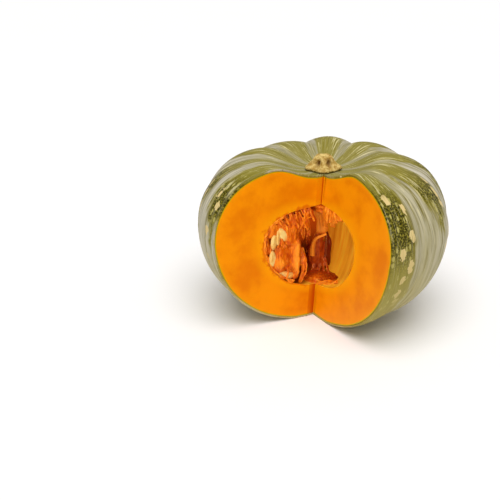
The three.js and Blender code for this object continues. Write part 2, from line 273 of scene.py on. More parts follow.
def calc(tree, operation, first, second=0.0):
    return add_node(tree, "ShaderNodeMath", {0: first, 1: second}, operation=operation).outputs[0]


def times(tree, first, second):
    return calc(tree, "MULTIPLY", first, second)


def plus(tree, first, second):
    return calc(tree, "ADD", first, second)


def minus(tree, first, second):
    return calc(tree, "SUBTRACT", first, second)


def stepped(tree, value, low, high):
    """A smooth step from 0 at low to 1 at high."""
    settings = {"Value": value, "From Min": low, "From Max": high}
    made = add_node(tree, "ShaderNodeMapRange", settings, interpolation_type="SMOOTHSTEP")
    return made.outputs["Result"]


def zone(tree, value, start, full, fading, end):
    """1 from full to fading, with soft borders that begin at start and end at end."""
    return times(tree, stepped(tree, value, start, full), stepped(tree, value, end, fading))


def spread(tree, value, low, high):
    """A value from 0 to 1, spread evenly from low to high."""
    values = {"Value": value, "To Min": low, "To Max": high}
    return add_node(tree, "ShaderNodeMapRange", values).outputs[0]


def tinted(tree, share, first, second):
    made = add_node(tree, "ShaderNodeMix", {0: share, 6: first, 7: second}, data_type="RGBA")
    return made.outputs[2]


def washed(tree, colour, share, strength, wash):
    """The colour under a wash of another one, as strong as share times strength."""
    return tinted(tree, times(tree, share, strength), colour, wash)


def attribute(tree, name):
    return add_node(tree, "ShaderNodeAttribute", attribute_name=name).outputs["Fac"]


def speckle(tree, vector, scale, detail=3.0, roughness=0.55):
    values = {"Vector": vector, "Scale": scale, "Detail": detail, "Roughness": roughness}
    return add_node(tree, "ShaderNodeTexNoise", values).outputs["Fac"]


def swung(tree, pattern, width):
    """A speckle moved so that it swings to both sides of 0."""
    return times(tree, minus(tree, pattern, 0.5), width)


def relief(tree, height, strength, depth):
    values = {"Height": height, "Strength": strength, "Distance": depth}
    return add_node(tree, "ShaderNodeBump", values).outputs[0]


def paint(red, green, blue):
    """A colour given in screen values from 0 to 255."""
    def linear(value):
        share = value / 255
        return share / 12.92 if share <= 0.04045 else ((share + 0.055) / 1.055) ** 2.4
    return (linear(red), linear(green), linear(blue), 1)


silver_wax = paint(202, 194, 174)
dull_wax = paint(154, 145, 108)
right_side_wax = paint(146, 136, 74)
olive_wax = paint(126, 115, 58)
light_olive = paint(154, 143, 60)
deep_olive = paint(126, 115, 32)
dark_green = paint(48, 45, 3)
fleck_cream = paint(186, 174, 96)
blotch_cream = paint(222, 196, 132)
crown_olive = paint(128, 118, 50)
crown_straw = paint(160, 150, 90)
ray_cream = paint(222, 210, 156)
pale_line = paint(200, 189, 146)
dark_line = paint(92, 84, 20)
base_straw = paint(172, 159, 92)
scar_cork = paint(150, 112, 62)
wax_sheen = (0.95, 0.93, 0.8, 1)


def rind_material(skin_length):
    """The rind's finish, on a map that counts ribs around the fruit and mm along it from the stem."""
    material, tree = new_material("mottled_waxy_rind")
    around = attribute(tree, "around")
    along = attribute(tree, "along")
    crosswise = times(tree, around, rib_span)

    def skin_map(stretch):
        lengthwise = times(tree, along, stretch)
        return add_node(tree, "ShaderNodeCombineXYZ", {"X": crosswise, "Y": lengthwise}).outputs[0]

    def squared(value):
        return calc(tree, "POWER", calc(tree, "ABSOLUTE", value), 2.0)

    fleck_map = skin_map(0.55)
    streak = speckle(tree, skin_map(0.07), 0.2, 4)
    mottle = speckle(tree, skin_map(0.8), 0.62, 5, 0.65)

    # Bands: green on the crests against wax in the grooves, with a wandering, ragged border
    wander = swung(tree, speckle(tree, fleck_map, 0.03), 0.4)
    phase = times(tree, plus(tree, around, wander), math.pi)
    crest = calc(tree, "ABSOLUTE", calc(tree, "SINE", phase))
    crest = plus(tree, crest, swung(tree, speckle(tree, skin_map(0.25), 0.16, 4), 0.9))
    beyond = stepped(tree, minus(tree, along, attribute(tree, "reach")), *green_end)
    crest = minus(tree, crest, times(tree, beyond, 0.6))
    green_share = stepped(tree, crest, 0.36, 0.62)
    wax = tinted(tree, stepped(tree, streak, 0.38, 0.64), silver_wax, dull_wax)
    # The wax is darker on the rib beside the right cut
    wax = washed(tree, wax, stepped(tree, around, 1.2, -0.2), 0.5, right_side_wax)
    wax = tinted(tree, stepped(tree, streak, 0.54, 0.64), wax, olive_wax)
    olive = tinted(tree, stepped(tree, streak, 0.35, 0.65), light_olive, deep_olive)
    dark = times(tree, stepped(tree, mottle, 0.44, 0.51), zone(tree, along, *dark_green_zone))
    green = tinted(tree, times(tree, dark, stepped(tree, crest, 0.5, 0.75)), olive, dark_green)

    # Pale flecks in the green
    cells = add_node(tree, "ShaderNodeTexVoronoi", {"Vector": fleck_map, "Scale": 0.26}).outputs
    cell_kind = add_node(tree, "ShaderNodeSeparateColor", {"Color": cells["Color"]}).outputs[0]
    fleck = times(tree, stepped(tree, cell_kind, 0.6, 0.66), stepped(tree, cells["Distance"], 0.44, 0.3))
    green = washed(tree, green, fleck, 0.85, fleck_cream)
    colour = tinted(tree, green_share, wax, green)

    # Cream blotches in a loose chain down one side of each rib
    rib = calc(tree, "FLOOR", around)
    link = calc(tree, "FLOOR", calc(tree, "DIVIDE", along, chain_step))
    chain_map = add_node(tree, "ShaderNodeCombineXYZ", {"X": rib, "Y": link}).outputs[0]
    chance = add_node(tree, "ShaderNodeTexWhiteNoise", {"Vector": chain_map}, noise_dimensions="2D")
    random = add_node(tree, "ShaderNodeSeparateColor", {"Color": chance.outputs["Color"]}).outputs
    sideways = plus(tree, times(tree, random[0], 0.26), attribute(tree, "side"))
    aside = times(tree, minus(tree, minus(tree, around, rib), sideways), 21.0)
    centre = plus(tree, link, plus(tree, times(tree, random[1], 0.3), 0.35))
    onwards = minus(tree, along, times(tree, centre, chain_step))
    onwards = calc(tree, "DIVIDE", onwards, plus(tree, times(tree, random[2], 6.0), 2.0))
    apart = calc(tree, "SQRT", plus(tree, squared(aside), squared(onwards)))
    apart = plus(tree, apart, swung(tree, speckle(tree, skin_map(0.8), 0.2, 2), 2.4))
    blotch = times(tree, stepped(tree, apart, 1.0, 0.85), stepped(tree, random[2], 0.34, 0.36))
    blotch = times(tree, blotch, zone(tree, along, *blotch_zone))
    blotch = times(tree, blotch, stepped(tree, crest, 0.1, 0.4))
    colour = tinted(tree, blotch, colour, blotch_cream)

    # The crown: yellower, with fine pale lines that run in to the stem
    crown_colour = tinted(tree, stepped(tree, streak, 0.36, 0.64), crown_olive, crown_straw)
    colour = washed(tree, colour, stepped(tree, along, *crown_border), 0.6, crown_colour)
    ray = stepped(tree, speckle(tree, skin_map(0.1), 0.26, 3), 0.58, 0.63)
    ray = times(tree, ray, stepped(tree, along, *ray_border))
    colour = washed(tree, colour, ray, 0.75, ray_cream)

    # Fine lengthwise lines all over, the pale ones fainter on the green
    lines = speckle(tree, skin_map(0.04), 0.75, 3)
    line_share = minus(tree, 0.6, times(tree, green_share, 0.3))
    colour = washed(tree, colour, stepped(tree, lines, 0.55, 0.68), line_share, pale_line)
    colour = washed(tree, colour, stepped(tree, lines, 0.46, 0.34), 0.5, dark_line)

    # The base: paler and browner, with a corky scar in its middle
    colour = washed(tree, colour, stepped(tree, along, *base_border), 0.6, base_straw)
    scar_edge = plus(tree, along, times(tree, mottle, 5.0))
    scar = stepped(tree, scar_edge, *[skin_length + border for border in scar_border])
    colour = tinted(tree, scar, colour, scar_cork)
    finish_shader(tree, {
        "Base Color": colour,
        "Roughness": spread(tree, mottle, 0.4, 0.56),
        "Normal": relief(tree, plus(tree, mottle, times(tree, streak, 0.8)), 0.25, 0.5 * MM),
        "Specular IOR Level": spread(tree, green_share, 0.45, 0.06),
        "Specular Tint": wax_sheen})
    return material


rind_mesh = ribbed_skin(skin_rows, skin_steps)
along_layer = rind_mesh.verts.layers.float["along"]
rind_length = max(vert[along_layer] for vert in rind_mesh.verts)
cut_wedge(rind_mesh)
bmesh.ops.recalc_face_normals(rind_mesh, faces=rind_mesh.faces[:])
around_layer = rind_mesh.verts.layers.float.new("around")
reach_layer = rind_mesh.verts.layers.float.new("reach")
side_layer = rind_mesh.verts.layers.float.new("side")
for vert in rind_mesh.verts:
    turns = (azimuth_of(vert.co) - first_groove) / rib_angle
    vert[around_layer] = turns + band_shift * ease(turns, shift_start, shift_full)
    rib = math.floor(vert[around_layer]) % rib_count
    vert[reach_layer] = green_reaches[rib]
    vert[side_layer] = blotch_sides[rib]
bmesh.ops.solidify(rind_mesh, geom=rind_mesh.faces[:], thickness=rind_thickness)
rind_tree = BVHTree.FromBMesh(rind_mesh)
finished_piece("rind_skin", rind_mesh, "rind", rind_material(rind_length))

# The flesh: the thick orange wall of the fruit, with two flat knife cuts and the hollow for the seeds.
# It is moist and even, yellower beside the hollow, with a thin green line under the rind.
# It grew inside the rind, which holds it all round.
hollow_radius = 68.5 * MM
hollow_middle = 86 * MM
hollow_rise = 30 * MM
hollow_drop = 53 * MM
hollow_roof_roundness = 0.6
hollow_floor_roundness = 0.8
hollow_outline_steps = 240
hollow_rows = 90
hollow_steps = 220
hollow_ripple = 0.5 * MM
hollow_ripple_scales = (90, 90, 12)
outer_rows = 60
outer_steps = 180
rind_gap = 0.25 * MM
crease_angle = math.radians(8)
on_plane = 0.01 * MM

# The rings of a cut: even ones across its broad part, then closer ones beside the rind,
# at the distances from it that rind_rows gives in mm.
cut_rows = 22
first_ring = 0.004
broad_end = 2 * MM
rind_rows = [5.5, 4, 2.8, 1.8, 1, 0.4, 0.1]
cut_ripple = 0.12 * MM
cut_ripple_scale = 40
plain_edge = 4 * MM


def stretched(place, scales):
    return Vector([side * scale for side, scale in zip(place, scales)])


def hollow_wall():
    points = egg_outline(hollow_outline_steps, hollow_radius, hollow_middle, hollow_rise, hollow_drop,
                         hollow_roof_roundness, hollow_floor_roundness)
    bm = spun(spaced(points, hollow_rows), hollow_steps)
    for vert, normal in with_normals(bm):
        vert.co += normal * noise.noise(stretched(vert.co, hollow_ripple_scales)) * hollow_ripple
    return bm


def way_to_rind(place):
    """The direction from the hollow's edge to the rind in its cut, and the cut's own outward direction."""
    level = place - lean_way * (place.z - hollow_middle)
    in_strip = -on_plane < (level - recess).dot(strip_way) < (crease - recess).length + on_plane
    if in_strip and abs((place - recess).dot(strip_out)) < on_plane:
        return lean_way.normalized() * (1 if place.z > hollow_middle else -1), strip_out
    on_left = abs((place - crease).dot(left_out)) < on_plane
    start = crease if on_left else recess
    return (place - start).normalized(), left_out if on_left else right_out


def strip_painted_shade(place):
    """How dark the strip is with painted shade, in the inner corner of the cuts: a thin line by the recess
    above the hollow, a broad soft one below it.
    """
    level = place - lean_way * (place.z - hollow_middle)
    share = (level - recess).dot(strip_way) / (crease - recess).length
    if place.z > hollow_middle:
        return 0.08 + 0.85 * ease(share, 0.3, 0.05)
    return 0.4 + 0.55 * ease(share, 0.8, 0.1)


def add_cut_faces(bm):
    """Grows the flat cuts out from the hollow's edge to the rind, ring by ring."""
    across = bm.verts.layers.float.new("across")
    under = bm.verts.layers.float.new("under_rind")
    wall = bm.verts.layers.float.new("wall")
    strip = bm.verts.layers.float.new("strip")
    inside = 0.6 * MM
    for vert in bm.verts:
        vert[wall] = 1
    edges = [edge for edge in bm.edges if edge.is_boundary]
    for edge in edges:
        edge.smooth = False
    paths = {}
    for vert in {vert for edge in edges for vert in edge.verts}:
        way, out = way_to_rind(vert.co)
        start = vert.co - out * inside
        hit = rind_tree.ray_cast(start, way)[0]
        paths[vert] = (vert.co.copy(), way, out, (hit - start).length)
    shares = [first_ring] + [(i + 1) / cut_rows for i in range(cut_rows)]
    for i in range(len(shares) + len(rind_rows)):
        rings = bmesh.ops.extrude_edge_only(bm, edges=edges)["geom"]
        edges = [item for item in rings if isinstance(item, bmesh.types.BMEdge)]
        moved = {}
        for vert in [item for item in rings if isinstance(item, bmesh.types.BMVert)]:
            old = next(e.other_vert(vert) for e in vert.link_edges if e.other_vert(vert) in paths)
            start, way, out, reach = paths[old]
            broad = reach - rind_rows[0] * MM - broad_end
            gone = broad * shares[i] if i < len(shares) else reach - rind_rows[i - len(shares)] * MM
            ripple = noise.noise((start + way * gone) * cut_ripple_scale) if gone > plain_edge else 0
            vert.co = start + way * gone + out * cut_ripple * ripple
            vert[across] = gone / reach
            vert[under] = (reach - gone) / MM
            vert[wall] = 0
            vert[strip] = strip_painted_shade(vert.co) if out == strip_out else 0
            moved[vert] = paths[old]
        paths = moved
    return edges


def close_outside(bm, rim):
    """Adds the flesh's outer skin, just under the rind, and joins it to the outer rim of the cuts."""
    outer = ribbed_skin(outer_rows, outer_steps)
    outer.normal_update()
    for vert, normal in with_normals(outer):
        vert.co -= normal * (rind_thickness + rind_gap)
    cut_wedge(outer)
    holder = bpy.data.meshes.new("outer")
    outer.to_mesh(holder)
    outer.free()
    inside = set(bm.faces)
    bm.from_mesh(holder)
    bpy.data.meshes.remove(holder)
    added = [face for face in bm.faces if face not in inside]
    open_edges = {edge for face in added for edge in face.edges if edge.is_boundary}
    bmesh.ops.bridge_loops(bm, edges=rim + list(open_edges))


def crease_edges(bm):
    """Keeps the cuts' borders sharp and leaves the hollow's wall smooth."""
    wall = bm.verts.layers.float["wall"]
    for edge in bm.edges:
        if len(edge.link_faces) == 2 and edge.calc_face_angle() > crease_angle:
            if not any(vert[wall] for vert in edge.verts):
                edge.smooth = False


def object_place(tree):
    return add_node(tree, "ShaderNodeTexCoord").outputs["Object"]


deep_orange = paint(194, 103, 1)
bright_orange = paint(210, 124, 2)
hollow_edge_yellow = paint(214, 138, 4)
under_rind_yellow = paint(210, 128, 4)
under_rind_green = paint(158, 142, 8)
# Painted shade in the strip at the cuts' inner corner
strip_shade_brown = paint(168, 60, 2)
torn_edge_brown = paint(184, 76, 4)
wall_yellow = paint(242, 190, 52)
wall_orange = paint(224, 152, 26)
# Painted shade on the hollow's wall behind the pulp
back_wall_shade_brown = paint(110, 36, 4)
back_wall_shade_orange = paint(176, 70, 8)
# Painted glow colours, for the hollow's wall and the deep pulp, which glow though no lamp is there
painted_glow_yellow = paint(220, 168, 38)
painted_glow_red = paint(172, 66, 8)
flesh_sheen = (1.0, 0.42, 0.02, 1)

# Where the looks of the flesh change, from left to right or upwards: each pair is a soft border.
stain_border = (4 * MM, -8 * MM)
back_wall_border = (-6 * MM, -18 * MM)
back_wall_heights = (58 * MM, 78 * MM)
# The borders of the painted glow on the hollow's wall
glow_border = (-1 * MM, 10 * MM)
glow_fade = (15 * MM, 21 * MM)
dim_border = (-6 * MM, -16 * MM)
dim_heights = (42 * MM, 64 * MM)


def flesh_material():
    material, tree = new_material("moist_orange_flesh")
    place = object_place(tree)
    sides = add_node(tree, "ShaderNodeSeparateXYZ", {"Vector": place}).outputs
    rightwards, height = sides["X"], sides["Z"]
    across = attribute(tree, "across")
    under = attribute(tree, "under_rind")
    wall = attribute(tree, "wall")
    cloud = speckle(tree, place, 38.0, 4)

    # The cuts: yellower at both borders, with a green line by the rind and pulp stains by the hollow
    colour = tinted(tree, stepped(tree, cloud, 0.34, 0.66), deep_orange, bright_orange)
    ring = stepped(tree, plus(tree, across, times(tree, cloud, 0.25)), 0.42, 0.14)
    colour = washed(tree, colour, ring, 0.75, hollow_edge_yellow)
    colour = washed(tree, colour, stepped(tree, under, 8.0, 1.5), 0.6, under_rind_yellow)
    green = stepped(tree, plus(tree, under, times(tree, cloud, 1.2)), 2.4, 1.0)
    colour = tinted(tree, green, colour, under_rind_green)
    # Painted shade in the strip at the cuts' inner corner
    colour = tinted(tree, attribute(tree, "strip"), colour, strip_shade_brown)
    torn = speckle(tree, place, 190.0, 3)
    stain = stepped(tree, plus(tree, across, times(tree, torn, 0.36)), 0.26, 0.17)
    stain = times(tree, stain, stepped(tree, rightwards, *stain_border))
    colour = washed(tree, colour, stain, 0.75, torn_edge_brown)

    # The wall of the hollow: upright yellow streaks at the right, painted shade behind the pulp at the left,
    # brown and darkest low down
    upright = add_node(tree, "ShaderNodeCombineXYZ", {"X": rightwards, "Y": times(tree, height, 0.08)})
    streak = speckle(tree, upright.outputs[0], 320.0, 4)
    wall_colour = tinted(tree, stepped(tree, streak, 0.35, 0.68), wall_yellow, wall_orange)
    back_share = stepped(tree, rightwards, *back_wall_border)
    back_wall_shade = tinted(tree, stepped(tree, height, *back_wall_heights), back_wall_shade_brown, back_wall_shade_orange)
    wall_colour = tinted(tree, back_share, wall_colour, back_wall_shade)
    colour = tinted(tree, wall, colour, wall_colour)

    # A painted glow that stands in for light on the wall of the hollow: yellow at the right, dim and red
    # behind the pulp
    lit = plus(tree, times(tree, stepped(tree, rightwards, *glow_border), 0.34), 0.04)
    lit = minus(tree, lit, times(tree, stepped(tree, rightwards, *glow_fade), 0.18))
    lit = times(tree, lit, minus(tree, 1.7, times(tree, streak, 1.4)))
    dim = times(tree, stepped(tree, height, *dim_heights), 0.65)
    behind = stepped(tree, rightwards, *dim_border)
    wall_glow = add_node(tree, "ShaderNodeMix", {0: behind, 2: lit, 3: dim}).outputs[0]
    finish_shader(tree, {
        "Base Color": colour,
        "Emission Strength": times(tree, wall, wall_glow),
        "Emission Color": tinted(tree, behind, painted_glow_yellow, painted_glow_red),
        "Roughness": spread(tree, cloud, 0.38, 0.52),
        "Normal": relief(tree, speckle(tree, place, 900.0, 2), 0.12, 0.3 * MM),
        "Specular IOR Level": 0.22,
        "Specular Tint": flesh_sheen,
        "Subsurface Weight": 0.15,
        "Subsurface Radius": (1.0, 0.35, 0.08),
        "Subsurface Scale": 4 * MM})
    return material


flesh_mesh = hollow_wall()
cut_wedge(flesh_mesh)
outer_rim = add_cut_faces(flesh_mesh)
close_outside(flesh_mesh, outer_rim)
crease_edges(flesh_mesh)
bmesh.ops.recalc_face_normals(flesh_mesh, faces=flesh_mesh.faces[:])
flesh_mesh.faces.ensure_lookup_table()
front_face = min(flesh_mesh.faces, key=lambda face: face.calc_center_median().y)
if front_face.normal.y > 0:
    bmesh.ops.reverse_faces(flesh_mesh, faces=flesh_mesh.faces[:])
flesh = finished_piece("flesh_wall", flesh_mesh, "flesh", flesh_material())

# The stem: a corky stalk, cut short, whose five ridges spread into a lobed foot on the crown.
# Between the ridges it has sunk into hollows, darkened with painted shade. Its dry tan skin is pitted and
# wrinkled.
stem_height = 13 * MM
stem_foot = 17 * MM
stem_top = 8.5 * MM
stem_ridges = 5
stem_turn = math.radians(-73)
stem_gap = 0.3 * MM
stem_seat = widest_height + crown_rise - dimple_depth + stem_gap
flat_foot = 0.3 * MM
stem_rows = 80
stem_steps = 240
pit_depth = 0.11
lobe_depth = 0.06
cork_grains = [(0.45 * MM, 260), (0.25 * MM, 700)]


def hump(x, middle, width):
    """A smooth rise to 1 at the middle that dies out over the width."""
    return math.exp(-((x - middle) / width) ** 2)


def smooth_all(bm, rounds):
    for _ in range(rounds):
        bmesh.ops.smooth_vert(bm, verts=bm.verts[:], factor=0.5,
                              use_axis_x=True, use_axis_y=True, use_axis_z=True)


def stem_shape():
    corners = [(0, 0), (0.94 * stem_foot, 0), (stem_foot, 0.14), (0.91 * stem_foot, 0.28),
               (1.25 * stem_top, 0.48), (1.06 * stem_top, 0.78), (0.92 * stem_top, 0.96),
               (0.5 * stem_top, 1), (0, 0.9)]
    outline = [Vector((r, 0, share * stem_height)) for r, share in corners]
    bm = spun(spaced(outline, stem_rows), stem_steps)
    smooth_all(bm, 6)
    pit_layer = bm.verts.layers.float.new("pit")
    rise_layer = bm.verts.layers.float.new("rise")
    for vert in bm.verts:
        azimuth = math.atan2(vert.co.y, vert.co.x) - stem_turn
        share = vert.co.z / stem_height
        ridge_wave = math.cos(stem_ridges * azimuth)
        ridge_depth = 0.05 + 0.2 * hump(share, 0.5, 0.25)
        pit = max(-ridge_wave, 0) ** 0.9 * hump(share, 0.54, 0.24)
        lobe_pattern = noise.noise(Vector((math.cos(azimuth) * 3, math.sin(azimuth) * 3, 5)))
        lobe = lobe_depth * lobe_pattern * ease(share, 0.6, 0.1)
        width = 1 + ridge_depth * (ridge_wave - 0.3)
        width += lobe - pit_depth * pit
        vert.co.x *= width
        vert.co.y *= width
        vert[pit_layer] = pit
        vert[rise_layer] = share
    bm.normal_update()
    for vert in bm.verts:
        cork = sum(depth * noise.noise(vert.co * scale) for depth, scale in cork_grains)
        if vert.co.z > flat_foot:
            vert.co += vert.normal * cork
    bmesh.ops.translate(bm, verts=bm.verts[:], vec=(0, 0, stem_seat))
    return bm


cork_tan = paint(174, 136, 62)
cork_cream = paint(224, 196, 122)
blot_brown = paint(160, 116, 50)
# Painted shade in the hollows between the ridges
pit_shade_brown = paint(116, 76, 28)
# The foot's low edge: a dark green scar, with painted shade where the foot overhangs the crown
foot_scar_and_shade_olive = paint(90, 78, 22)


def stem_material():
    material, tree = new_material("dry_corky_stem")
    place = object_place(tree)
    grain = speckle(tree, place, 320.0, 5, 0.65)
    colour = tinted(tree, stepped(tree, grain, 0.38, 0.64), cork_tan, cork_cream)
    blot = stepped(tree, speckle(tree, place, 110.0, 3), 0.55, 0.68)
    colour = washed(tree, colour, blot, 0.55, blot_brown)
    # Painted shade in the hollows between the ridges
    sunk = stepped(tree, plus(tree, attribute(tree, "pit"), times(tree, grain, 0.5)), 0.35, 1.15)
    colour = washed(tree, colour, sunk, 0.85, pit_shade_brown)
    # The foot's low edge: a dark green scar, with painted shade where the foot overhangs the crown
    foot_scar_and_shade = stepped(tree, plus(tree, attribute(tree, "rise"), times(tree, grain, 0.3)), 0.36, 0.16)
    colour = washed(tree, colour, foot_scar_and_shade, 0.9, foot_scar_and_shade_olive)
    finish_shader(tree, {
        "Base Color": colour,
        "Roughness": 0.9,
        "Specular IOR Level": 0.15,
        "Normal": relief(tree, grain, 0.5, 0.6 * MM)})
    return material


finished_piece("stem_cork", stem_shape(), "stem", stem_material())

# The pulp: wet orange fibre that fills much of the hollow, in soft clots with strands strung over them.
# Torn by the knife at the left cut, it hangs from the roof, stands on the floor and clings to the walls.
# A torn sheet of it hangs in the middle.
left_facing = math.atan2(left_way.y, left_way.x)
right_facing = math.atan2(left_way.y, -left_way.x)
back_way = Vector((left_way.y, -left_way.x, 0))
pulp_voxel = 0.5 * MM
pulp_proud = 1.6 * MM
pulp_tuck = 0.6 * MM
pulp_edge_wander = 2 * MM
pulp_edge_scale = 170
pulp_grains = [(0.9, (300, 300, 130)), (0.4, (900, 900, 200))]
pulp_and_seeds = []


def draw(n):
    """A repeatable random number from 0 to 1 for each whole number."""
    wave = math.sin(n * 12.9898) * 43758.5453
    return wave - math.floor(wave)


def left_cut(along, height, back):
    """A place in the left cut's own frame: along it from the corner, up, and back into the fruit."""
    level = wedge_corner + left_way * along * MM + back_way * back * MM
    return level + lean_way * (height * MM - wedge_corner.z)


def right_cut(along, height, back):
    """A place in the right cut's own frame, like left_cut."""
    level = wedge_corner + Vector((-left_way.x, left_way.y, 0)) * along * MM
    level += Vector((-left_way.y, -left_way.x, 0)) * back * MM
    return level + lean_way * (height * MM - wedge_corner.z)


def wall_radius(height):
    above = height > hollow_middle
    share = (height - hollow_middle) / (hollow_rise if above else hollow_drop)
    roundness = hollow_roof_roundness if above else hollow_floor_roundness
    return hollow_radius * math.sqrt(max(1 - share * share, 0)) ** roundness


def on_wall(azimuth_degrees, height, inwards):
    """A place on the hollow's wall, moved inwards."""
    r = wall_radius(height * MM) - inwards * MM
    azimuth = math.radians(azimuth_degrees)
    return Vector((r * math.cos(azimuth), r * math.sin(azimuth), height * MM))


def add_clot(bm, centre, sizes, facing, key):
    """A soft lump with a rippled surface."""
    made = bmesh.ops.create_icosphere(bm, subdivisions=4, radius=1)["verts"]
    for vert in made:
        vert.co *= 1 + 0.09 * math.sin(5 * vert.co.x + key) + 0.07 * math.sin(7 * vert.co.z + 2 * key)
    bmesh.ops.scale(bm, verts=made, vec=Vector(sizes) * MM)
    bmesh.ops.rotate(bm, verts=made, cent=(0, 0, 0), matrix=Matrix.Rotation(facing, 3, "Z"))
    bmesh.ops.translate(bm, verts=made, vec=centre)


def with_threads(fibres, key, count, spread_mm, stout=1.35):
    """Each fibre's line, with finer threads that run loosely beside it, as places and a radius in mm."""
    strands = []
    for i, places in enumerate(fibres):
        strands.append((places, stout))
        for j in range(count):
            number = key + 31 * i + 7 * j
            thread = []
            for k, place in enumerate(places):
                drift = Vector([draw(number + 3 * k + axis) - 0.5 for axis in range(3)])
                thread.append(place + 2 * spread_mm * MM * drift)
            strands.append((thread, 0.55 + 0.4 * draw(number + 50)))
    return strands


def finished_mesh(holder):
    """The mesh that an object's curve or modifiers make."""
    return bpy.data.meshes.new_from_object(holder.evaluated_get(bpy.context.evaluated_depsgraph_get()))


def add_strands(bm, strands):
    """Adds each strand as a smooth round tube through its places."""
    line = bpy.data.curves.new("strands", "CURVE")
    line.dimensions = "3D"
    line.bevel_depth = MM
    line.bevel_resolution = 1
    line.resolution_u = 6
    line.use_fill_caps = True
    for places, radius in strands:
        spline = line.splines.new("NURBS")
        spline.points.add(len(places) - 1)
        spline.order_u = 3
        spline.use_endpoint_u = True
        for point, place in zip(spline.points, places):
            point.co = (*place, 1)
            point.radius = radius
    holder = placed("strands", line)
    tubes = finished_mesh(holder)
    bm.from_mesh(tubes)
    bpy.data.objects.remove(holder)
    bpy.data.curves.remove(line)
    bpy.data.meshes.remove(tubes)


def fused(bm):
    """One closed skin around everything in the mesh, fine enough for the threads."""
    rough = bpy.data.meshes.new("rough")
    bm.to_mesh(rough)
    bm.free()
    holder = placed("rough", rough)
    skin = holder.modifiers.new("skin", "REMESH")
    skin.mode = "VOXEL"
    skin.voxel_size = pulp_voxel
    whole = finished_mesh(holder)
    made = bmesh.new()
    made.from_mesh(whole)
    bpy.data.objects.remove(holder)
    bpy.data.meshes.remove(rough)
    bpy.data.meshes.remove(whole)
    return made


def depth_in_fruit(place):
    """How far a place lies behind the cuts; below 0 it stands out of them."""
    return max((crease - place).dot(left_out), (recess - place).dot(right_out))


def pulp_piece(node, bm, strands, rough=1, painted_light_at=lambda place: 0):
    """Fuses clots and strands, roughens them along the fibres, and trims what stands out of the cuts.

    Its layers: deep is mm behind the cuts, sunk is mm below its surroundings, and a third holds painted
    highlight above 0 and painted shadow below it."""
    add_strands(bm, strands)
    bm = fused(bm)
    smooth_all(bm, 2)
    bm.normal_update()
    deep_layer = bm.verts.layers.float.new("deep")
    sunk_layer = bm.verts.layers.float.new("sunk")
    painted_light_layer = bm.verts.layers.float.new("painted_light")
    for vert in bm.verts:
        grain = sum(height * noise.noise(stretched(vert.co, scales)) for height, scales in pulp_grains)
        vert.co += vert.normal * rough * grain * MM
        vert[painted_light_layer] = painted_light_at(vert.co)
        depth = depth_in_fruit(vert.co)
        ragged = pulp_edge_wander * noise.noise(vert.co * pulp_edge_scale)
        outside = vert.co.xy.length > wall_radius(vert.co.z + ragged) + ragged
        limit = pulp_tuck if outside else -pulp_proud
        if depth < limit:
            on_left = (crease - vert.co).dot(left_out) > (recess - vert.co).dot(right_out)
            vert.co += (left_out if on_left else right_out) * (depth - limit)
        vert[deep_layer] = depth / MM
    for vert in bm.verts:
        around = [edge.other_vert(vert).co for edge in vert.link_edges]
        middle = sum(around, Vector()) / len(around)
        vert[sunk_layer] = (middle - vert.co).dot(vert.normal) / MM
    pulp_and_seeds.append(finished_piece(node + "_fibre", bm, node, pulp_material))


fibre_red = paint(178, 66, 4)
fibre_orange = paint(210, 108, 11)
clot_red = paint(158, 52, 5)
# Painted light at the cuts, and painted shade deeper in
front_painted_light_yellow = paint(222, 136, 26)
inner_shade_red = paint(136, 38, 3)
inner_shade_orange = paint(174, 66, 8)
# Painted highlight on the ridge and the torn sheet, and painted shadow in the sheet's fold
sheet_painted_highlight = paint(226, 138, 34)
fold_painted_shadow = paint(90, 18, 4)
# Painted shade in the slits and painted highlight on the ridges
slit_shade_red = paint(126, 30, 3)
ridge_highlight_yellow = paint(236, 146, 38)
# The colour of the painted glow on the torn sheet
painted_glow_orange = paint(226, 124, 30)
pulp_sheen = (1.0, 0.62, 0.3, 1)

# Where the pulp has a painted glow: soft borders in mm behind the cuts, and one by height.
deep_glow_border = (26.0, 44.0)
deep_glow_heights = (46 * MM, 72 * MM)
sheet_glow_border = (8.0, 14.0)


